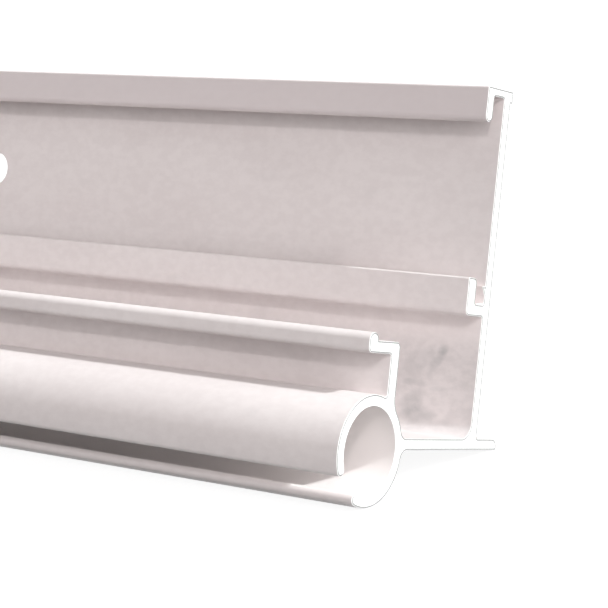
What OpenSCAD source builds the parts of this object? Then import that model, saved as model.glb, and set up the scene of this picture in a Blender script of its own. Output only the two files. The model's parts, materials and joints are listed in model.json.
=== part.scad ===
// Trim insert rail: one aluminium extrusion for the wall of a caravan or camper.
// A flat plate carries two hooks that hold a snap-in trim insert over its screw heads.
// Below them a shallow gutter ends in a slotted tube that takes an awning's bead.
// The section is drawn upright, u forwards from the plate's back and v upwards.
// The rail is then leaned back until it stands on its heel and its tube.

/* [Length and holes] */
// Length of the cut piece
length = 2438.4; // [304.8:304.8:4876.8]
// Diameter of the screw holes
hole_d = 4; // [3:0.1:6]
// Distance from one screw hole to the next
hole_pitch = 152.4; // [50.8:25.4:304.8]
// Distance from the first screw hole to the rail's +X end
hole_end = 72.6; // [25:0.1:150]
// Least distance from the last screw hole to the other end
hole_rest = 25; // [10:5:100]

/* [Plate] */
// Height of the plate above the gutter floor's underside
plate_h = 38.1; // [34:0.1:60]
// Thickness of the plate
plate_t = 1.27; // [1:0.05:1.8]
// How far the nib on the top edge stands out behind the plate
nib_out = 0.4; // [0.3:0.05:1]
// Height of the nib
nib_h = 1.3; // [1:0.1:3]

/* [Top hook] */
// Depth of the top hook, from the plate's back to the front of its lip
top_hook_d = 4.6; // [4.2:0.05:8]
// Thickness of the top hook's flange
top_flange_t = 0.9; // [0.8:0.05:1.8]
// Thickness of the top hook's lip
top_lip_t = 1.3; // [1:0.05:1.6]
// How far the lip's tip hangs below the top edge
top_lip_drop = 3.7; // [3:0.1:6]

/* [Lower hook] */
// Height of the lower hook's underside above the gutter floor's underside
low_hook_v = 14.1; // [12.5:0.1:17]
// Depth of the lower hook, from the plate's back to the front of its lip
low_hook_d = 4.65; // [4.4:0.05:8]
// Thickness of the lower hook's flange
low_flange_t = 1.25; // [1:0.05:1.8]
// Thickness of the lower hook's lip
low_lip_t = 1.6; // [1.2:0.05:1.8]
// Height of the lip's tip above the lower hook's underside
low_lip_h = 4; // [3.5:0.05:6]
// How far the barb in the lower groove stands out from the plate
barb_out = 0.6; // [0.4:0.05:0.9]
// Height of the barb, from its flat top to the foot of its slope
barb_h = 0.95; // [0.6:0.05:1.2]
// How far the barb's flat top lies below the lip's tip
barb_down = 0.8; // [0.5:0.05:1.2]

/* [Gutter] */
// Thickness of the gutter's floor
floor_t = 1.2; // [1:0.05:1.6]
// How far the heel reaches behind the plate
heel = 4.2; // [3:0.05:8]
// Radius of the heel's upper corner
heel_r = 0.9; // [0.5:0.05:0.95]
// Thickness of the web that closes the gutter's front
web_t = 1.5; // [1.2:0.05:2]
// How far the web's rear face lies behind the tube's centre
web_back = 3.55; // [3:0.05:4.2]
// Height of the gutter lip's flat top above the gutter floor's underside
gutter_h = 10.85; // [9.5:0.05:13]
// Thickness of the gutter lip
gutter_lip_t = 1.25; // [1:0.05:1.6]
// Reach of the gutter lip, from the web's rear face to the front of its nose
gutter_lip_out = 5.55; // [4.5:0.05:8]
// Thickness of the nose at the front of the gutter lip
nose_t = 1.6; // [1.3:0.05:1.9]
// How far the nose stands up above the gutter lip's flat top
nose_up = 0.8; // [0.5:0.05:2]

/* [Bead tube] */
// Distance from the plate's back to the tube's centre
tube_u = 19.9; // [17:0.1:30]
// Height of the tube's centre above the gutter floor's underside
tube_v = -0.1; // [-1:0.1:0.6]
// Bore of the tube
bead_d = 9; // [8:0.1:10.2]
// Wall of the tube
tube_wall = 1.15; // [1.1:0.05:1.6]
// Angle of the slot's upper lip below the forward direction
slot_from = 28; // [20:1:40]
// Angle between the tips of the slot's two lips
slot_angle = 35; // [20:1:40]

/* [Corners] */
// Radius inside the small corners of the hooks and the web
root_r = 0.3; // [0.15:0.05:0.4]
// Radius of the hooks' outer corners
hook_r = 0.6; // [0.3:0.05:0.8]
// Radius of the rail's small outer corners
edge_r = 0.2; // [0.1:0.05:0.3]
// Radius between the plate's front and the gutter's floor
plate_root_r = 1.6; // [0.8:0.1:2.5]
// Radius between the tube and the gutter's floor, above and below
tube_root_r = 1.1; // [0.6:0.1:1.6]
// Radius between the tube and the web's rear face
web_root_r = 2.5; // [1.5:0.1:3]

/* [Hidden] */
$fn = 96;

// Tube and web, from their own sizes
tube_r = bead_d / 2 + tube_wall;
web_u = tube_u - web_back;
web_front_u = web_u + web_t;
nose_u = web_u + gutter_lip_out;

// Levels of the two hooks and of the flat band between them
top_tip_v = plate_h - top_lip_drop;
low_tip_v = low_hook_v + low_lip_h;
hole_v = (top_tip_v + low_tip_v) / 2;

// Screw holes in one row, which starts near the +X end and runs on as far as the length allows
hole_x0 = length / 2 - hole_end;
hole_count = floor((length - hole_end - hole_rest) / hole_pitch) + 1;

// Lean at which the heel's lower corner and the tube touch one level floor
stance_u = tube_u + heel - edge_r;
stance_v = tube_v - edge_r;
lean = asin((tube_r - edge_r) / norm([stance_u, stance_v])) - atan2(stance_v, stance_u);

// Place of a point of the section once the rail leans: backwards and upwards
function leaned_y(u, v) = v * sin(lean) - u * cos(lean);
function leaned_z(u, v) = u * sin(lean) + v * cos(lean);
lift = tube_r - leaned_z(tube_u, tube_v);

// Middle of the leaned section from front to back, which goes to the origin
top_back = leaned_y(edge_r - nib_out, plate_h - edge_r) + edge_r;
heel_back = leaned_y(heel_r - heel, floor_t - heel_r) + heel_r;
tube_front = leaned_y(tube_u, tube_v) - tube_r;
nose_front = leaned_y(nose_u - nose_t / 2, gutter_h + nose_up - nose_t / 2) - nose_t / 2;
middle = (max(top_back, heel_back) + min(tube_front, nose_front)) / 2;

// How far a form runs into its neighbour, so that the two join
lap = 0.3;
// The same for the fillets against the tube
bite = 0.6;

// Rectangle between two opposite corners
module block(a, b) {
    translate([min(a[0], b[0]), min(a[1], b[1])])
        square([abs(b[0] - a[0]), abs(b[1] - a[1])]);
}

// Curved triangle between a square corner and the arc that rounds it.
// Taken away it rounds an outer corner, and added it fills an inner one.
// way points from the corner towards the arc's centre.
module corner(at, way, r) {
    difference() {
        block(at - lap * way, at + r * way);
        translate(at + r * way) circle(r = r);
    }
}

// Height of the tube's upper half over a place in front of the plate
function tube_top(u, r) = tube_v + sqrt(r * r - (tube_u - u) * (tube_u - u));
// Place of the tube's rear half at a height
function tube_rear(v, r) = tube_u - sqrt(r * r - (v - tube_v) * (v - tube_v));

// Fillet between the tube and a straight face that meets it.
// way points from the arc's centre to the straight face.
module tube_fill(centre, way, r, meet) {
    inwards = ([tube_u, tube_v] - centre) / norm([tube_u, tube_v] - centre);
    foot = centre + r * way;
    seat = centre + r * inwards;
    outline = [
        foot,
        foot + bite * way,
        meet + bite / 2 * (way + inwards),
        seat + bite * inwards,
        seat
    ];
    // The outline always runs anticlockwise, whichever side the fillet is on
    difference() {
        polygon(cross(way, inwards) > 0 ? outline : [for (i = [len(outline) - 1 : -1 : 0]) outline[i]]);
        translate(centre) circle(r = r);
    }
}

// Flat plate that lies against the wall, with the nib behind its top edge
module plate_form() {
    block([0, 0], [plate_t, plate_h]);
    difference() {
        block([-nib_out, plate_h - nib_h], [plate_t, plate_h]);
        corner([-nib_out, plate_h], [1, -1], edge_r);
        corner([-nib_out, plate_h - nib_h], [1, 1], edge_r);
    }
}

// Hook along the top edge, with its lip hanging and its tip round
module top_hook_form() {
    under = plate_h - top_flange_t;
    lip_u = top_hook_d - top_lip_t;
    difference() {
        union() {
            block([0, under], [top_hook_d, plate_h]);
            block([lip_u, top_tip_v + top_lip_t / 2], [top_hook_d, plate_h]);
        }
        corner([top_hook_d, plate_h], [-1, -1], edge_r);
    }
    translate([top_hook_d - top_lip_t / 2, top_tip_v + top_lip_t / 2]) circle(d = top_lip_t);
    corner([plate_t, under], [1, -1], root_r);
    corner([lip_u, under], [-1, -1], root_r);
}

// Hook at the middle, with its lip standing and a lead-in at the back of its tip
module lower_hook_form() {
    groove_v = low_hook_v + low_flange_t;
    lip_u = low_hook_d - low_lip_t;
    difference() {
        union() {
            block([0, low_hook_v], [low_hook_d, groove_v]);
            block([lip_u, low_hook_v], [low_hook_d, low_tip_v]);
        }
        corner([low_hook_d, low_hook_v], [-1, 1], hook_r);
        corner([low_hook_d, low_tip_v], [-1, -1], edge_r);
        corner([lip_u, low_tip_v], [1, -1], hook_r);
    }
    corner([plate_t, low_hook_v], [1, -1], root_r);
    corner([plate_t, groove_v], [1, 1], root_r);
    corner([lip_u, groove_v], [-1, 1], root_r);
}

// Barb on the plate that grips the trim insert's edge in the lower groove
module barb_form() {
    barb_v = low_tip_v - barb_down;
    polygon([
        [plate_t - lap, barb_v - barb_h],
        [plate_t, barb_v - barb_h],
        [plate_t + barb_out, barb_v],
        [plate_t - lap, barb_v]
    ]);
}

// Gutter's floor, which runs on behind the plate as the heel
module floor_form() {
    difference() {
        block([-heel, 0], [tube_u, floor_t]);
        corner([-heel, floor_t], [1, -1], heel_r);
        corner([-heel, 0], [1, 1], edge_r);
    }
    corner([plate_t, floor_t], [1, 1], plate_root_r);
    corner([0, floor_t], [-1, 1], root_r);
}

// Web at the gutter's front, with its lip turned forwards and up into a round nose
module web_form() {
    lip_v = gutter_h - gutter_lip_t;
    nose_v = gutter_h + nose_up - nose_t / 2;
    difference() {
        union() {
            block([web_u, tube_v], [web_front_u, gutter_h]);
            block([web_u, lip_v], [nose_u, gutter_h]);
            block([nose_u - nose_t, lip_v], [nose_u, nose_v]);
        }
        corner([web_u, gutter_h], [1, -1], hook_r);
        corner([nose_u, lip_v], [-1, 1], hook_r);
    }
    translate([nose_u - nose_t / 2, nose_v]) circle(d = nose_t);
    corner([web_front_u, lip_v], [1, -1], root_r);
}

// Fillets where the gutter's floor and the web run into the tube
module tube_fillets() {
    over_v = floor_t + tube_root_r;
    web_side_u = web_u - web_root_r;
    front_side_u = web_front_u + root_r;
    tube_fill([tube_rear(over_v, tube_r + tube_root_r), over_v], [0, -1], tube_root_r,
        [tube_rear(floor_t, tube_r), floor_t]);
    tube_fill([tube_rear(-tube_root_r, tube_r + tube_root_r), -tube_root_r], [0, 1], tube_root_r,
        [tube_rear(0, tube_r), 0]);
    tube_fill([web_side_u, tube_top(web_side_u, tube_r + web_root_r)], [1, 0], web_root_r,
        [web_u, tube_top(web_u, tube_r)]);
    tube_fill([front_side_u, tube_top(front_side_u, tube_r + root_r)], [-1, 0], root_r,
        [web_front_u, tube_top(web_front_u, tube_r)]);
}

// Middle of the tube's wall, and the turn that one rounded lip takes up there
wall_r = bead_d / 2 + tube_wall / 2;
lip_turn = asin(tube_wall / 2 / wall_r);
// Angles of the centres of the slot's two rounded lips, below the forward direction
slot_lips = [slot_from - lip_turn, slot_from + slot_angle + lip_turn];

// A place around the tube's centre, at an angle below the forward direction
function around_tube(angle, r) = [tube_u + r * cos(angle), tube_v - r * sin(angle)];

// Bore that holds the awning's bead, and the slot that its cloth leaves by
module bead_space() {
    translate([tube_u, tube_v]) circle(d = bead_d);
    polygon([
        [tube_u, tube_v],
        around_tube(slot_lips[1], 2 * tube_r),
        around_tube(slot_lips[0], 2 * tube_r)
    ]);
}

// The whole section, upright
module section() {
    difference() {
        union() {
            plate_form();
            top_hook_form();
            lower_hook_form();
            barb_form();
            floor_form();
            web_form();
            translate([tube_u, tube_v]) circle(r = tube_r);
            tube_fillets();
        }
        bead_space();
    }
    for (angle = slot_lips)
        translate(around_tube(angle, wall_r)) circle(d = tube_wall);
}

// The rail: its section drawn out to length, drilled through the plate and leaned back
module rail() {
    color("gainsboro")
        translate([0, -middle, lift])
            rotate([-lean, 0, 0])
                difference() {
                    rotate([90, 0, -90])
                        linear_extrude(height = length, center = true) section();
                    for (i = [0 : hole_count - 1])
                        translate([hole_x0 - i * hole_pitch, -plate_t / 2, hole_v])
                            rotate([90, 0, 0])
                                cylinder(h = plate_t + 2 * lap, d = hole_d, center = true);
                }
}

rail();
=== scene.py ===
# %% [markdown]
# Trim insert rail: how its looks are made
# The real thing is one aluminium extrusion, baked white, that is screwed to a camper's wall.
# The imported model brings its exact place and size. This script draws the same section with
# finer curves, gives it paint, a sawn end and handling marks, and lights it for a picture.

# %% Load the fixed frame
import json
import math

import bpy
from mathutils import Euler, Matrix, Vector


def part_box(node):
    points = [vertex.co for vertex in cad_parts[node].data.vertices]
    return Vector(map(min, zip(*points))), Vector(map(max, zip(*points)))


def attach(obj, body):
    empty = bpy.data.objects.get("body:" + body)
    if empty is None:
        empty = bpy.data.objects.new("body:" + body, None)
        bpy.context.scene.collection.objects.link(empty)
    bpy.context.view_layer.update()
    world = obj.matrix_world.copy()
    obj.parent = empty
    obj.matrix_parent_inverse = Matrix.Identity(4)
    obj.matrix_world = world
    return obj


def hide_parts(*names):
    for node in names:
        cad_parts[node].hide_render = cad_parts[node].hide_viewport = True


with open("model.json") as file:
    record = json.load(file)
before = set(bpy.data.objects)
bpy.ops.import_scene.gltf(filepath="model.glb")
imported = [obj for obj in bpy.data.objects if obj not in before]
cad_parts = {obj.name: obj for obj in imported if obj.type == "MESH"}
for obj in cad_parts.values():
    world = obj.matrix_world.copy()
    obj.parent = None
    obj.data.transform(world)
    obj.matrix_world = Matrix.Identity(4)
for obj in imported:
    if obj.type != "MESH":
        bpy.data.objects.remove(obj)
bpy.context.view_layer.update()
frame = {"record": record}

# %% [markdown]
# Where the rail is
# The record says where the bead channel and the screw holes are, so nothing is fitted by eye.
# A screw hole's axis is square to the plate, so it tells how far the rail leans back.
# The section is drawn upright in millimetres, as a maker would draw it: u runs forwards from
# the plate's back and v up from the heel's underside. Only a last step leans it to its place,
# in metres.

# %% Read the rail's place from the record
MM = 0.001  # metres in a millimetre
mounts = {mount["name"]: mount for mount in frame["record"]["mounts"]}
channel = mounts["bead_channel"]
first_hole = mounts["screw_hole_01"]
hole_pitch = first_hole["pos_m"][0] - mounts["screw_hole_02"]["pos_m"][0]
hole_r = first_hole["dims"]["r_mm"]
bore_r = channel["dims"]["r_mm"]
rail_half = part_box("rail")[1].x
lean = math.atan2(first_hole["axis"][2], -first_hole["axis"][1])
print("length", round(2 * rail_half, 4), "m, lean", round(math.degrees(lean), 2), "degrees")

# %% [markdown]
# Sizes of the section
# These are the extrusion's own sizes, in millimetres: a plate with a hook along its top and one
# at its middle, a gutter whose floor runs on behind the plate as a heel, a web that ends in a
# lip with a round nose, and a slotted tube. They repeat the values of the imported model.

# %% Sizes in millimetres
# the plate, and the nib at the top of its back
plate_h, plate_t = 38.1, 1.27
nib_out, nib_h = 0.4, 1.3
# the top hook: its reach from the plate's back, its flange, its lip and the lip's drop
top_hook_d, top_flange_t, top_lip_t, top_lip_drop = 4.6, 0.9, 1.3, 3.7
# the lower hook: its underside's height, its reach, its flange, its lip and the lip's height
low_hook_v, low_hook_d, low_flange_t, low_lip_t, low_lip_h = 14.1, 4.65, 1.25, 1.6, 4.0
# the barb on the plate inside the lower hook, and how far below the lip's tip it starts
barb_out, barb_h, barb_down = 0.6, 0.95, 0.8
# the gutter's floor, and the heel behind the plate with the round at its upper edge
floor_t, heel, heel_r = 1.2, 4.2, 0.9
# the web: its wall, how far its back lies behind the tube's centre, and its height
web_t, web_back, gutter_h = 1.5, 3.55, 10.85
# the lip on the web: its thickness and its reach from the web's back, and its nose
gutter_lip_t, gutter_lip_out, nose_t, nose_up = 1.25, 5.55, 1.6, 0.8
# the tube: its centre and its wall
tube_u, tube_v, tube_wall = 19.9, -0.1, 1.15
# the slot: degrees below level at its upper lip, and its width in degrees
slot_from, slot_angle = 28, 35
# the rounds: inner corners, hooks, outer edges, and where the floor and the web meet the rest
root_r, hook_r, edge_r = 0.3, 0.6, 0.2
plate_root_r, tube_root_r, web_root_r, web_front_r = 1.6, 1.1, 2.5, 0.3

tube_r = bore_r + tube_wall
web_u = tube_u - web_back
web_front_u = web_u + web_t
nose_u = web_u + gutter_lip_out
top_tip_v = plate_h - top_lip_drop
low_tip_v = low_hook_v + low_lip_h
hole_v = (top_tip_v + low_tip_v) / 2
print("the plate is", plate_h, "mm high and the tube", 2 * tube_r, "mm wide")

# %% [markdown]
# A pen for the outline
# An extrusion's section is one closed line of straights and round stretches. A curve object
# could hold it, but its corners would be hard to blend exactly. A small pen is clearer: it is
# told the corners with their radii and the large arcs, and notes the true outward normal at
# both ends of every edge. Those normals later keep the flats flat and the rounds smooth.

# %% Points along an arc
FINE = 0.003  # how far a chord may lie off its arc
WIDEST_STEP = 15  # degrees between two points of an arc, at most


def round_stretch(centre, radius, start, turn):
    """Points and outward normals along an arc, in degrees; a negative turn runs clockwise."""
    step = min(WIDEST_STEP, 2 * math.degrees(math.acos(1 - FINE / radius)))
    steps = max(2, math.ceil(abs(turn) / step))
    outward = 1 if turn < 0 else -1
    stretch = []
    for i in range(steps + 1):
        angle = math.radians(start + turn * i / steps)
        way = Vector((math.cos(angle), math.sin(angle)))
        stretch.append((Vector(centre) + radius * way, outward * way))
    return stretch


print("a full turn of the bore takes", len(round_stretch((0, 0), bore_r, 0, 360)) - 1, "chords")

# %% The pen
SAME_PLACE = 0.0003  # two points closer than this are one


class Pen:
    """Draws a closed outline clockwise, as seen with u to the right and v up."""

    def __init__(self):
        self.stops = []

    def corner(self, u, v, radius=0.0):
        """Goes straight to a corner, which is sharp or rounded with a radius."""
        self.stops.append(("corner", Vector((u, v)), radius))

    def arc(self, centre, radius, start, end):
        """Goes along a circle between two directions from its centre, in degrees."""
        self.stops.append(("arc", round_stretch(centre, radius, start, end - start)))

    def edge_of(self, index, last):
        """The place where a stop begins or ends, before its corner is rounded."""
        stop = self.stops[index % len(self.stops)]
        return stop[1] if stop[0] == "corner" else stop[1][-1 if last else 0][0]

    def stretch(self, index):
        """One stop as its points and normals; a sharp corner has no normal of its own."""
        stop = self.stops[index]
        if stop[0] == "arc":
            return stop[1]
        _, place, radius = stop
        if radius == 0:
            return [(place, None)]
        way_in = (place - self.edge_of(index - 1, True)).normalized()
        way_out = (self.edge_of(index + 1, False) - place).normalized()
        turn = math.degrees(way_in.angle_signed(way_out))
        side = Vector((way_in.y, -way_in.x)) * (1 if turn > 0 else -1)
        start = place - way_in * radius * math.tan(math.radians(abs(turn) / 2))
        first = math.degrees(math.atan2(-side.y, -side.x))
        return round_stretch(start + radius * side, radius, first, -turn)

    def outline(self):
        """All points in order, and for each edge from a point to the next its two normals."""
        runs = [self.stretch(i) for i in range(len(self.stops))]
        points, normals = [], []
        for run, following in zip(runs, runs[1:] + runs[:1]):
            for (place, normal), (_, next_normal) in zip(run, run[1:]):
                points.append(place)
                normals.append((normal, next_normal))
            straight = following[0][0] - run[-1][0]
            if straight.length > SAME_PLACE:
                points.append(run[-1][0])
                flat = Vector((-straight.y, straight.x)).normalized()
                normals.append((flat, flat))
        return points, normals


# %% [markdown]
# The rail's section
# The pen goes round the whole section once: the nib and the top hook, down the plate's front
# past the barb that grips the insert, round the lower hook, along the gutter's floor, up the
# web and over its lip, round the tube, in through the slot, round the bore and out again, and
# back under the floor to the heel. The bore needs no line of its own, because the slot joins
# it to the outside. The arcs beside the tube start and end where the circles touch.

# %% Places around the tube


def tube_rear(v, r):
    """u at a height, on the rear half of a circle about the tube's centre."""
    return tube_u - math.sqrt(r * r - (v - tube_v) ** 2)


def tube_top(u, r):
    """v at a depth, on the upper half of a circle about the tube's centre."""
    return tube_v + math.sqrt(r * r - (tube_u - u) ** 2)


def to_tube(u, v):
    """Direction from a place to the tube's centre, in degrees."""
    return math.degrees(math.atan2(tube_v - v, tube_u - u))


def around_tube(angle, r):
    """The place in a direction from the tube's centre, in degrees, at a distance."""
    return (tube_u + r * math.cos(math.radians(angle)), tube_v + r * math.sin(math.radians(angle)))


print("the tube reaches back to u =", round(tube_rear(tube_v, tube_r), 3))

# %% Both hooks and the plate's front
hole_cell = 2 * hole_r  # half the side of the square that the plate leaves for a hole
pen = Pen()


def draw_hooks(pen):
    pen.corner(-nib_out, plate_h, edge_r)
    pen.corner(top_hook_d, plate_h, edge_r)
    lip_r = top_lip_t / 2
    pen.arc((top_hook_d - lip_r, top_tip_v + lip_r), lip_r, 0, -180)
    pen.corner(top_hook_d - top_lip_t, plate_h - top_flange_t, root_r)
    pen.corner(plate_t, plate_h - top_flange_t, root_r)
    pen.corner(plate_t, hole_v + hole_cell)
    pen.corner(plate_t, hole_v - hole_cell)
    barb_v = low_tip_v - barb_down
    pen.corner(plate_t, barb_v)
    pen.corner(plate_t + barb_out, barb_v)
    pen.corner(plate_t, barb_v - barb_h)
    pen.corner(plate_t, low_hook_v + low_flange_t, root_r)
    pen.corner(low_hook_d - low_lip_t, low_hook_v + low_flange_t, root_r)
    pen.corner(low_hook_d - low_lip_t, low_tip_v, hook_r)
    pen.corner(low_hook_d, low_tip_v, edge_r)
    pen.corner(low_hook_d, low_hook_v, hook_r)
    pen.corner(plate_t, low_hook_v, root_r)


draw_hooks(pen)
print("the hooks and the plate take", len(pen.stops), "stops of the pen")

# %% The gutter, its web and its lip


def draw_gutter(pen):
    pen.corner(plate_t, floor_t, plate_root_r)
    over_v = floor_t + tube_root_r
    over_u = tube_rear(over_v, tube_r + tube_root_r)
    pen.arc((over_u, over_v), tube_root_r, -90, to_tube(over_u, over_v))
    side_u = web_u - web_root_r
    side_v = tube_top(side_u, tube_r + web_root_r)
    from_side = 180 + to_tube(side_u, side_v)
    pen.arc((tube_u, tube_v), tube_r, 180 + to_tube(over_u, over_v), from_side)
    pen.arc((side_u, side_v), web_root_r, from_side - 180, 0)
    pen.corner(web_u, gutter_h, hook_r)
    nose_r = nose_t / 2
    pen.arc((nose_u - nose_r, gutter_h + nose_up - nose_r), nose_r, 180, 0)
    pen.corner(nose_u, gutter_h - gutter_lip_t, hook_r)
    pen.corner(web_front_u, gutter_h - gutter_lip_t, root_r)


draw_gutter(pen)
print("with the gutter there are", len(pen.stops))

# %% The slotted tube


def draw_tube(pen):
    front_u = web_front_u + web_front_r
    front_v = tube_top(front_u, tube_r + web_front_r)
    from_front = 180 + to_tube(front_u, front_v)
    wall_r = bore_r + tube_wall / 2
    lip_turn = math.degrees(math.asin(tube_wall / 2 / wall_r))
    upper = -slot_from + lip_turn
    lower = -slot_from - slot_angle - lip_turn
    pen.arc((front_u, front_v), web_front_r, 180, from_front + 180)
    pen.arc((tube_u, tube_v), tube_r, from_front, upper)
    pen.arc(around_tube(upper, wall_r), tube_wall / 2, upper, upper - 180)
    pen.arc((tube_u, tube_v), bore_r, upper, lower + 360)
    pen.arc(around_tube(lower, wall_r), tube_wall / 2, lower + 180, lower)
    under_u = tube_rear(-tube_root_r, tube_r + tube_root_r)
    to_centre = to_tube(under_u, -tube_root_r)
    pen.arc((tube_u, tube_v), tube_r, lower, to_centre - 180)
    pen.arc((under_u, -tube_root_r), tube_root_r, to_centre, 90)


draw_tube(pen)
print("with the tube there are", len(pen.stops))

# %% The heel and the plate's back


def draw_heel(pen):
    pen.corner(-heel, 0, edge_r)
    pen.corner(-heel, floor_t, heel_r)
    pen.corner(0, floor_t, root_r)
    pen.corner(0, hole_v - hole_cell)
    pen.corner(0, hole_v + hole_cell)
    pen.corner(0, plate_h - nib_h)
    pen.corner(-nib_out, plate_h - nib_h, edge_r)


draw_heel(pen)
print("the whole section takes", len(pen.stops), "stops of the pen")

# %% Close the outline
outline, edge_normals = pen.outline()
around = len(outline)
print("the section has", around, "points")

# %% [markdown]
# Stations along the bar
# A press pushes the section out to length, so the mesh is the outline repeated at stations
# along X, with quads between. The stations stand close enough together for the quads to keep
# a fair shape. A pair of them stands at each screw hole, one on either side, and between
# these two the plate's faces leave a square free for the hole.

# %% Stations along the length
edge_break = 0.06  # what deburring takes off the edges of the cut, in millimetres
station_gap = plate_h * MM
first_x = first_hole["pos_m"][0]
hole_count = int((first_x + rail_half - hole_cell * MM) / hole_pitch) + 1
hole_x = [first_x - i * hole_pitch for i in reversed(range(hole_count))]


def spread(start, end):
    """Stations from the start on, evenly and no wider than the gap; the end is left out."""
    steps = math.ceil((end - start) / station_gap)
    return [start + (end - start) * i / steps for i in range(steps)]


stations = []
hole_at = {}  # the number of the station where a hole's square begins, and the hole's place
start = -rail_half + edge_break * MM
for x in hole_x:
    stations += spread(start, x - hole_cell * MM)
    hole_at[len(stations)] = x
    stations.append(x - hole_cell * MM)
    start = x + hole_cell * MM
last = rail_half - edge_break * MM
stations += spread(start, last) + [last]
print(hole_count, "screw holes and", len(stations), "stations")

# %% [markdown]
# Leaning the section
# The rail rests on its heel and its tube, so the upright drawing turns back by the lean about
# the bead channel, whose centre the record gives.

# %% Upright section to its place
lean_sin, lean_cos = math.sin(lean), math.cos(lean)


def leaned(u, v):
    """A direction of the section, in the frame's Y and Z."""
    return (v * lean_sin - u * lean_cos, u * lean_sin + v * lean_cos)


def placed(x, u, v):
    """A point of the section at a station, in metres."""
    y, z = leaned((u - tube_u) * MM, (v - tube_v) * MM)
    return (x, channel["pos_m"][1] + y, channel["pos_m"][2] + z)


print("the plate faces", [round(part, 4) for part in leaned(1, 0)], "in Y and Z")

# %% [markdown]
# The mesh
# Points and faces are listed and handed to Blender in one go. Each face also lists
# the normal at each of its corners, so that light slides over the round stretches and a flat
# stays flat right up to them. At both cuts two more rings are drawn in from the outline: one
# by the width of the broken edge, and one further in, where the smeared film of paint ends.

# %% Rings of points
ENAMEL, SAWN, RIM = 0, 1, 2
# The broken edge and the rim together stay narrower than edge_r. If they were wider, the
# drawn-in outline would cross itself at the outer edges.
rim_width = 0.12
CUT_RINGS = 2  # rings that lie on each sawn face


def drawn_in(i, by):
    """Outline point i, moved inwards by a small width along the mitre of its two edges."""
    before, after = edge_normals[i - 1][1], edge_normals[i][0]
    return outline[i] - (before + after) * by / (1 + before.dot(after))


rings = [(-rail_half, edge_break + rim_width), (-rail_half, edge_break)]
rings += [(x, 0) for x in stations]
rings += [(rail_half, edge_break), (rail_half, edge_break + rim_width)]
verts = [placed(x, *drawn_in(i, by)) for x, by in rings for i in range(around)]
print(len(rings), "rings with", len(verts), "points")

# %% Faces and their normals
faces, face_normals, face_paint = [], [], []


def add_face(corners, normals, paint=ENAMEL):
    """Notes a face by the indices of its points, with a normal in x, u and v at each."""
    faces.append(corners)
    face_normals.append([(x, *leaned(u, v)) for x, u, v in normals])
    face_paint.append(paint)


def on_cut(ring):
    """1 for a ring on one of the two sawn faces, and 0 for any other."""
    return int(ring < CUT_RINGS or ring >= len(rings) - CUT_RINGS)


plate_cells = {}
for i in range(around):
    here, there = outline[i], outline[(i + 1) % around]
    if abs(here.x - there.x) < FINE and abs(abs(here.y - there.y) - 2 * hole_cell) < FINE:
        plate_cells[i] = here.x
print("hole cells lie on the plate faces at u =", list(plate_cells.values()))

# %% Join ring to ring
for ring in range(len(rings) - 1):
    near, far = ring * around, (ring + 1) * around
    cut = [on_cut(k) for k in (ring, ring, ring + 1, ring + 1)]
    paint = (ENAMEL, SAWN, RIM)[on_cut(ring) + on_cut(ring + 1)]
    endwards = (1 if ring >= CUT_RINGS else -1, 0, 0)
    for i in range(around):
        if ring - CUT_RINGS in hole_at and i in plate_cells:
            continue
        j = (i + 1) % around
        first, second = ((0, *normal) for normal in edge_normals[i])
        sides = (first, second, second, first)
        normals = [endwards if flat else side for flat, side in zip(cut, sides)]
        add_face((near + i, near + j, far + j, far + i), normals, paint)

last_ring = (len(rings) - 1) * around
add_face(tuple(reversed(range(around))), [(-1, 0, 0)] * around, SAWN)
add_face(tuple(range(last_ring, last_ring + around)), [(1, 0, 0)] * around, SAWN)
print(len(faces), "faces before the holes")

# %% [markdown]
# Screw holes
# A hole drilled through thin stock is a short round wall with a broken rim on either side. A
# boolean would cut it, but would leave long slivers on the plate. So each hole is laid out:
# rings of points through the plate with quads between them, and four faces on the front and
# four on the back that join the outer rings to the corners of the square left free.

# %% Rings and faces of a hole
HOLE_POINTS = 32  # a multiple of eight, so that each side of the square meets a quarter
BEVEL_LEAN = 0.7  # how far a broken rim's normals lean to the plate's face
hole_break = 0.1


def hole_ring(x, u, r):
    """Adds a ring of points in the plate and returns the index of its first point."""
    for k in range(HOLE_POINTS):
        angle = 2 * math.pi * k / HOLE_POINTS
        verts.append(placed(x + r * MM * math.cos(angle), u, hole_v + r * math.sin(angle)))
    return len(verts) - HOLE_POINTS


def join_rings(outer, inner, slope):
    """Quads from one ring to a deeper one; slope is how far their normals lean to the front."""
    inwards = math.sqrt(1 - slope * slope)
    for k in range(HOLE_POINTS):
        m = (k + 1) % HOLE_POINTS
        normals = []
        for step in (k, m, m, k):
            angle = 2 * math.pi * step / HOLE_POINTS
            normals.append((-inwards * math.cos(angle), slope, -inwards * math.sin(angle)))
        add_face((outer + k, outer + m, inner + m, inner + k), normals)


def join_cell(corners, ring, front):
    """Four flat faces between a cell's corners, anticlockwise from the upper right, and a ring."""
    quarter = HOLE_POINTS // 4
    for side in range(4):
        begin = quarter // 2 + side * quarter
        arc = [ring + (begin + quarter - k) % HOLE_POINTS for k in range(quarter + 1)]
        face = (corners[side], corners[(side + 1) % 4], *arc)
        add_face(face if front > 0 else face[::-1], [(0, front, 0)] * len(face))


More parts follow.
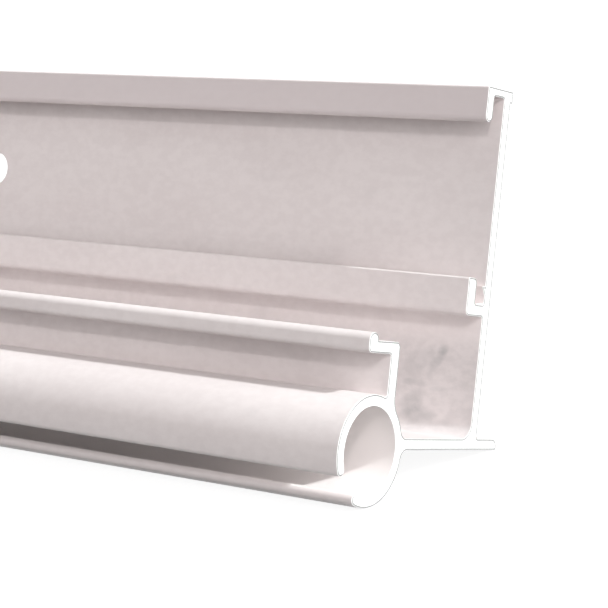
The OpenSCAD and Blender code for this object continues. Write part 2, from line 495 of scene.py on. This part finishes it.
# %% Punch the screw holes
for station, x in hole_at.items():
    near = (station + CUT_RINGS) * around
    far = near + around
    wall = [
        hole_ring(x, plate_t, hole_r + hole_break),
        hole_ring(x, plate_t - hole_break, hole_r),
        hole_ring(x, hole_break, hole_r),
        hole_ring(x, 0, hole_r + hole_break),
    ]
    for outer, inner, slope in zip(wall, wall[1:], (BEVEL_LEAN, 0, -BEVEL_LEAN)):
        join_rings(outer, inner, slope)
    for i, u in plate_cells.items():
        upper, lower = (i, i + 1) if u > 0 else (i + 1, i)
        corners = [far + upper, near + upper, near + lower, far + lower]
        join_cell(corners, wall[0] if u > 0 else wall[-1], 1 if u > 0 else -1)
print(len(faces), "faces with the holes")

# %% Make the mesh
rail_mesh = bpy.data.meshes.new("painted_rail")
rail_mesh.from_pydata(verts, [], faces)
rail_mesh.polygons.foreach_set("use_smooth", [True] * len(faces))
rail_mesh.polygons.foreach_set("material_index", face_paint)
rail_mesh.normals_split_custom_set([n for normals in face_normals for n in normals])
rail_mesh.update()
rail = bpy.data.objects.new("painted_rail", rail_mesh)
bpy.context.scene.collection.objects.link(rail)
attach(rail, "root")
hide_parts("rail")
print("the rail's mesh has", len(rail_mesh.vertices), "points and", len(faces), "faces")

# %% [markdown]
# Paint maths
# A finish is easier to read as sums than as a list of linked nodes. The class below wraps a
# node's output, and its operators add the Math nodes. Every other node comes from one method.
# Colours are mixed by Mix nodes instead, because a Math node would turn them grey.

# %% A socket that can be reckoned with


class Wire:
    """A node's output that adds, multiplies and so on as a number does."""

    def __init__(self, socket):
        self.socket = socket

    @classmethod
    def node(cls, tree, kind, settings=None, sockets=None, out=0):
        """Adds a node of a type: its settings go in first, then its sockets' values or links."""
        made = tree.nodes.new(kind)
        for name, value in (settings or {}).items():
            setattr(made, name, value)
        for name, value in (sockets or {}).items():
            if isinstance(value, Wire):
                value.feed(made, name)
            else:
                made.inputs[name].default_value = value
        return cls(made.outputs[out])

    def feed(self, node, name):
        """Links this output to a socket of another node."""
        self.socket.id_data.links.new(self.socket, node.inputs[name])

    def math(self, operation, first, second):
        """Adds a Math node that takes two wires or numbers."""
        return Wire.node(
            self.socket.id_data, "ShaderNodeMath", {"operation": operation}, {0: first, 1: second}
        )

    def __add__(self, other):
        return self.math("ADD", self, other)

    def __sub__(self, other):
        return self.math("SUBTRACT", self, other)

    def __rsub__(self, other):
        return self.math("SUBTRACT", other, self)

    def __mul__(self, other):
        return self.math("MULTIPLY", self, other)

    def __truediv__(self, other):
        return self.math("DIVIDE", self, other)

    def __rtruediv__(self, other):
        return self.math("DIVIDE", other, self)

    __radd__ = __add__
    __rmul__ = __mul__


# %% Masks, tints and relief


def fade(value, low, high):
    """0 below low, 1 above high and smooth in between, as a mask."""
    return Wire.node(
        value.socket.id_data,
        "ShaderNodeMapRange",
        {"interpolation_type": "SMOOTHSTEP"},
        {"Value": value, "From Min": low, "From Max": high},
    )


def tint(mask, plain, marked):
    """The plain colour where the mask is 0 and the marked one where it is 1."""
    # a Mix node has sockets for each kind of value, and these are its colour ones
    return Wire.node(
        mask.socket.id_data,
        "ShaderNodeMix",
        {"data_type": "RGBA"},
        {0: mask, 6: plain, 7: marked},
        out=2,
    )


def relief(height, strength, depth):
    """Normals of a surface that rises by a height from 0 to 1 times a depth in millimetres."""
    return Wire.node(
        height.socket.id_data,
        "ShaderNodeBump",
        sockets={"Strength": strength, "Distance": depth * MM, "Height": height},
    )


def squared(across, up):
    """The square of a distance, from how far it goes across and up."""
    return across * across + up * up


# %% [markdown]
# Places and patterns on the rail
# All patterns are laid out in the rail's own millimetres: x back from the shown end, u and v
# as in the drawing. Stretched noise gives the faint lines that a die leaves along the bar, fine
# noise the skin of sprayed paint, and broad noise the soft cloudiness of a handled surface.

# %% Coordinates and noise


def rail_places(tree):
    """x, u and v in millimetres as wires, and all three as one vector."""
    spot = Wire.node(tree, "ShaderNodeTexCoord", out="Object")
    split = Wire.node(tree, "ShaderNodeSeparateXYZ", sockets={0: spot}).socket.node
    x, y, z = (Wire(out) for out in split.outputs)
    along = (x - rail_half) * (1 / MM)
    back = (y - channel["pos_m"][1]) * (1 / MM)
    above = (z - channel["pos_m"][2]) * (1 / MM)
    u = above * lean_sin - back * lean_cos + tube_u
    v = above * lean_cos + back * lean_sin + tube_v
    joined = Wire.node(tree, "ShaderNodeCombineXYZ", sockets={0: along, 1: u, 2: v})
    return along, u, v, joined


def noise(places, size, stretch=1.0, detail=3.0):
    """Noise from 0 to 1 whose features are about size millimetres, drawn out along the rail."""
    tree = places.socket.id_data
    squeezed = Wire.node(
        tree,
        "ShaderNodeVectorMath",
        {"operation": "MULTIPLY"},
        {0: places, 1: (1 / (size * stretch), 1 / size, 1 / size)},
    )
    return Wire.node(
        tree, "ShaderNodeTexNoise", sockets={"Vector": squeezed, "Scale": 1.0, "Detail": detail}
    )


def new_finish(name):
    """A material with its node tree and its Principled shader."""
    material = bpy.data.materials.new(name)
    material.use_nodes = True
    return material, material.node_tree, material.node_tree.nodes["Principled BSDF"]


def wear_finish(material):
    """Adds a finish to the rail; they are added in the order of ENAMEL, SAWN and RIM."""
    rail_mesh.materials.append(material)
    print("the rail wears", material.name, "with", len(material.node_tree.nodes), "nodes")


# %% [markdown]
# The enamel
# Baked enamel on trim is a warm white with a satin shine. Up close it isn't even: the colour
# drifts a little, the die's lines show through, and hands and tools have left grey smudges,
# most of them on the plate behind the gutter, near the end that has been picked up. On top of
# that, painted shade darkens the lower part of the plate and the top hook's lip, and painted
# light makes the inside of the bead channel lighter. A plain Principled shader carries it,
# because the paint hides the metal almost wholly.

# %% Colours and smudges of the enamel
WHITE = (0.80, 0.745, 0.74, 1)
CLOUDED = (0.73, 0.672, 0.668, 1)
# painted shade for the front of the top hook's lip
LIP_SHADE_GREY = (0.67, 0.60, 0.605, 1)
# grey of the smudges and wear, and also of the painted shade behind the gutter
SMUDGE_AND_SHADE_GREY = (0.37, 0.365, 0.37, 1)
# painted light for the inside of the bead channel
BORE_LIGHT_WHITE = (0.82, 0.775, 0.765, 1)
# place x and v, half length and half height in millimetres, slant along x for each
# millimetre up, and depth
SMUDGES = (
    (-4.4, 10.2, 0.8, 0.75, 0.3, 0.75),
    (-5.0, 9.0, 0.8, 1.9, 0.6, 0.45),
    (-6.5, 9.1, 2.4, 1.6, 0.4, 0.35),
    (-8.3, 7.2, 1.7, 1.6, 0.0, 0.2),
    (-7.4, 6.4, 2.6, 0.45, 0.0, 0.3),
    (-4.6, 6.0, 1.3, 0.4, 1.2, 0.3),
    (-7.7, 4.2, 1.5, 1.9, 0.4, 0.6),
    (-6.7, 3.0, 2.6, 1.1, 0.0, 0.6),
    (-3.2, 2.6, 0.6, 0.9, 0.0, 0.2),
)
SMUDGE_REACH = 1.3  # the square of how far a smudge reaches, in its half sizes
FRAY, FRAY_LEAST = 1.1, -0.4  # how strongly noise frays a smudge's rim, and its least value


def smudge(x, v, ragged, at_x, at_v, long, high, slant):
    """An oval mask around a place on the plate, soft from its middle out to a ragged rim."""
    off_v = v - at_v
    off_x = x - at_x - off_v * slant
    return 1 - fade(squared(off_x / long, off_v / high) + ragged, 0.0, SMUDGE_REACH)


def handling(x, v, places):
    """All the smudges together."""
    ragged = noise(places, size=1.4, detail=4) * FRAY + FRAY_LEAST
    return sum(smudge(x, v, ragged, *shape) * depth for *shape, depth in SMUDGES)


print(len(SMUDGES), "smudges, up to", -min(row[0] for row in SMUDGES), "mm from the shown end")

# %% Where the enamel differs
PLATE_MARKS_END = (2.0, 3.0)  # u over which the plate's marks fade out in front of it
LOWER_SHADE_END = (9.5, 12.5)  # v over which the painted shade on the plate behind the gutter fades out upwards
LIP_SOFT_U, LIP_SOFT_V = 0.6, 1.0  # how gradually the painted shade on the top lip sets in
BORE_EDGE = (0.25, 0.45)  # depth in the tube's wall over which the bore's painted light, and the cut film's bright rim, end


def plate_front(u):
    """1 on the plate's front, and 0 on its back and on what stands out from it."""
    return fade(u, 0, plate_t) * (1 - fade(u, *PLATE_MARKS_END))


def top_lip(u, v):
    """1 on the front of the top hook's lip."""
    return fade(u, top_hook_d - LIP_SOFT_U, top_hook_d) * fade(v, top_tip_v - LIP_SOFT_V, top_tip_v)


def outside_bore(u, v):
    """0 in the bead channel and on its rim, and 1 outside it."""
    inner, outer = ((bore_r + off) ** 2 for off in BORE_EDGE)
    return fade(squared(u - tube_u, v - tube_v), inner, outer)


# %% Mix the enamel
# the noise at which clouds, mottle and wear set in, and at which they are full
CLOUDY, MOTTLED, WORN = (0.38, 0.68), (0.32, 0.68), (0.62, 0.8)
SATIN = 0.34  # roughness of the clean paint
LIP_SHADE_SHARE, SCUFF_SHARE, WEAR_SHARE = 0.7, 0.5, 0.12  # how far the lip's painted shade, the scuffs and the wear pull to their own colour
LOWER_SHADE_SHARE, LOWER_SHADE_MOTTLE = 0.21, 0.12  # how far the painted shade behind the gutter pulls to its colour, even and uneven


def mix_enamel():
    material, tree, shader = new_finish("baked_enamel")
    x, u, v, places = rail_places(tree)
    clouds = fade(noise(places, size=9, stretch=3), *CLOUDY)
    mottle = fade(noise(places, size=0.8, stretch=1.5, detail=6), *MOTTLED)
    lines = noise(places, size=0.35, stretch=150, detail=2)
    skin = noise(places, size=0.55, detail=2)
    wear = fade(noise(places, size=4, stretch=2, detail=5), *WORN)
    on_plate = plate_front(u)
    scuffs = handling(x, v, places) * on_plate
    # painted shade: the plate's front behind the gutter is darkened towards the bottom
    lower_plate_shade = on_plate * (1 - fade(v, *LOWER_SHADE_END)) * (mottle * LOWER_SHADE_MOTTLE + LOWER_SHADE_SHARE)
    colour = tint(clouds * 0.5 + mottle * 0.5 + lines * 0.15, WHITE, CLOUDED)
    # painted shade on the front of the top hook's lip
    colour = tint(top_lip(u, v) * LIP_SHADE_SHARE, colour, LIP_SHADE_GREY)
    colour = tint(scuffs * SCUFF_SHARE + wear * WEAR_SHARE + lower_plate_shade, colour, SMUDGE_AND_SHADE_GREY)
    # painted light: the inside of the bead channel is lighter than the rest of the enamel
    colour = tint(outside_bore(u, v), BORE_LIGHT_WHITE, colour)
    rough = clouds * 0.08 + scuffs * 0.15 + lines * 0.06 + SATIN
    colour.feed(shader, "Base Color")
    rough.feed(shader, "Roughness")
    relief(skin * 0.5 + lines * 0.5, strength=0.15, depth=0.02).feed(shader, "Normal")
    return material


wear_finish(mix_enamel())

# %% [markdown]
# The sawn end
# The stock is painted in long bars and cut afterwards, so the cut shows bare aluminium: bright,
# almost white against a light room, with the faint curved lines that a round saw blade leaves.
# Noise that depends only on the distance from the blade's axle draws those lines.

# %% Mix the sawn metal
BARE = (0.93, 0.93, 0.925, 1)
DULLED = (0.84, 0.84, 0.83, 1)
BLADE_U, BLADE_V = 60.0, -95.0  # the saw blade's axle, in the section's millimetres
SAWN_METALLIC, SAWN_ROUGHNESS = 0.6, 0.38


def mix_sawn_metal():
    material, tree, shader = new_finish("sawn_aluminium")
    _, u, v, places = rail_places(tree)
    from_axle = Wire.node(
        tree, "ShaderNodeMath", {"operation": "SQRT"}, {0: squared(u - BLADE_U, v - BLADE_V)}
    )
    swing = Wire.node(tree, "ShaderNodeCombineXYZ", sockets={0: from_axle})
    marks = noise(swing, size=0.22)
    grain = noise(places, size=0.5)
    colour = tint(marks * 0.6 + grain * 0.3, BARE, DULLED)
    rough = marks * 0.12 + SAWN_ROUGHNESS
    shader.inputs["Metallic"].default_value = SAWN_METALLIC
    colour.feed(shader, "Base Color")
    rough.feed(shader, "Roughness")
    relief(marks, strength=0.12, depth=0.03).feed(shader, "Normal")
    return material


wear_finish(mix_sawn_metal())

# %% [markdown]
# The cut film of paint
# Around the sawn end runs a fine grey rim, where the paint's film is cut through and the saw
# has smeared it. The bead channel's rim stays bright, because spray hardly reaches into it.

# %% Mix the rim
SMEARED = (0.18, 0.18, 0.18, 1)
CHIPPED = (0.25, 0.25, 0.245, 1)
CHIPS = (0.35, 0.65)  # the noise at which chips set in, and at which they are full
RIM_ROUGHNESS = 0.5


def mix_rim():
    material, tree, shader = new_finish("cut_film")
    _, u, v, places = rail_places(tree)
    chips = fade(noise(places, size=0.4), *CHIPS)
    colour = tint(outside_bore(u, v), BARE, tint(chips, SMEARED, CHIPPED))
    rough = chips * 0.1 + RIM_ROUGHNESS
    colour.feed(shader, "Base Color")
    rough.feed(shader, "Roughness")
    return material


wear_finish(mix_rim())

# %% [markdown]
# Floor and room
# The photograph's background is plain white. The floor is a dark grey to the lamps, so that it
# throws little light up under the rail, and glows white to the camera and to reflections. A
# faint shadow still shows on it. The room is white to the eye too. To surfaces it is a soft
# fill that is brighter on the shown end's side, so that light reaches into the bead channel.

# %% Rays that see the white


def seen_directly(tree):
    """1 for rays from the camera, from a gloss or through glass, and 0 for diffuse light."""
    kinds = ("Is Camera Ray", "Is Glossy Ray", "Is Transmission Ray")
    total = sum(Wire.node(tree, "ShaderNodeLightPath", out=kind) for kind in kinds)
    return Wire.node(tree, "ShaderNodeClamp", sockets={"Value": total})


# %% Lay the floor
FLOOR_HALF = 6  # half a side of the floor, in metres
FLOOR_GREY = (0.2, 0.2, 0.2, 1)
FLOOR_GLOW = 0.91


def lay_floor():
    mesh = bpy.data.meshes.new("floor")
    turns = ((-1, -1), (1, -1), (1, 1), (-1, 1))
    corners = [(x * FLOOR_HALF, y * FLOOR_HALF, 0) for x, y in turns]
    mesh.from_pydata(corners, [], [(0, 1, 2, 3)])
    floor = bpy.data.objects.new("floor", mesh)
    bpy.context.scene.collection.objects.link(floor)
    material, tree, shader = new_finish("white_floor")
    shader.inputs["Base Color"].default_value = FLOOR_GREY
    shader.inputs["Roughness"].default_value = 1.0
    shader.inputs["Specular IOR Level"].default_value = 0.0
    shader.inputs["Emission Color"].default_value = (1, 1, 1, 1)
    (seen_directly(tree) * FLOOR_GLOW).feed(shader, "Emission Strength")
    mesh.materials.append(material)


lay_floor()
print("the floor glows with", FLOOR_GLOW, "of white")

# %% Light the room
FILL, END_FILL = 0.14, 3.2
END_SIDE = (0.5, 0.95)  # how straight towards +X the brighter part sets in, and is full


def light_room():
    world = bpy.data.worlds.new("white_room")
    bpy.context.scene.world = world
    world.use_nodes = True
    tree = world.node_tree
    background = tree.nodes["Background"]
    way = Wire.node(tree, "ShaderNodeTexCoord", out="Generated")
    toward_end = Wire.node(tree, "ShaderNodeSeparateXYZ", sockets={0: way}, out="X")
    fill = fade(toward_end, *END_SIDE) * END_FILL + FILL
    background.inputs["Color"].default_value = (1, 1, 1, 1)
    (fill + seen_directly(tree) * (1 - fill)).feed(background, "Strength")


light_room()
print("the fill is", FILL, "of white, and", round(FILL + END_FILL, 2), "from beyond the shown end")

# %% [markdown]
# Lamps
# The photograph's shadows tell of three lights. One is in front and above: it throws the shadow
# bands under both hooks and under the gutter's lip, and a wide glow around it softens them. One
# is beyond the shown end, high and a little behind the plate: it whitens the sawn end, the
# tube's top and the gutter's floor, and draws the slanted edge of light in the mouth of the
# bore. A broad weak one beside the camera keeps the shadow bands and the slot from going black.
# The front lamps are slightly warm and the high one slightly cool, as the photograph's shades
# and highlights are. All are suns, because a sun lights the long bar evenly from end to end.

# %% Hang the lamps
WARM = (1, 0.95, 0.94)
COOL = (0.96, 1, 1)
FRONT = (0.53, -0.65, 0.54)
HIGH = (0.68, 0.20, 0.71)
CAMERA_SIDE = (0.51, -0.82, 0.27)


def sun(name, toward, share, softness, colour):
    """A sun in a direction, as a share of the light at which white shows as white."""
    data = bpy.data.lights.new(name, "SUN")
    data.color = colour
    data.energy = share * math.pi
    data.angle = math.radians(softness)
    lamp = bpy.data.objects.new(name, data)
    lamp.rotation_euler = Vector(toward).to_track_quat("Z", "Y").to_euler()
    bpy.context.scene.collection.objects.link(lamp)
    print(name, "gives", share, "of full light, spread over", softness, "degrees")


sun("front_lamp", FRONT, 0.22, 5, WARM)
sun("front_glow", FRONT, 0.11, 60, WARM)
sun("high_lamp", HIGH, 1.1, 3, COOL)
sun("camera_side_lamp", CAMERA_SIDE, 0.12, 40, WARM)

# %% [markdown]
# The camera
# Its place, turn and lens follow from the photograph: the long edges meet far to the left, the
# section at the shown end gives the scale, and a long lens close by gives that perspective.

# %% Set the camera
CAMERA_OFF = (117.88, -179.82, 63.02)  # millimetres from the shown end's middle, on the floor
CAMERA_TURN = (78.353, 2.396, 36.165)  # degrees
SENSOR, LENS = 36, 128.06  # millimetres
NEAREST = 10 * MM  # nothing nearer than this is drawn

shown_end = Vector((rail_half, 0, 0))
camera_data = bpy.data.cameras.new("camera")
camera_data.sensor_width = SENSOR
camera_data.lens = LENS
camera_data.clip_start = NEAREST
camera = bpy.data.objects.new("camera", camera_data)
camera.location = shown_end + Vector(CAMERA_OFF) * MM
camera.rotation_euler = Euler([math.radians(angle) for angle in CAMERA_TURN])
bpy.context.scene.collection.objects.link(camera)
bpy.context.scene.camera = camera
bpy.context.scene.view_settings.view_transform = "Standard"
print("camera at", [round(part, 4) for part in camera.location], "m")
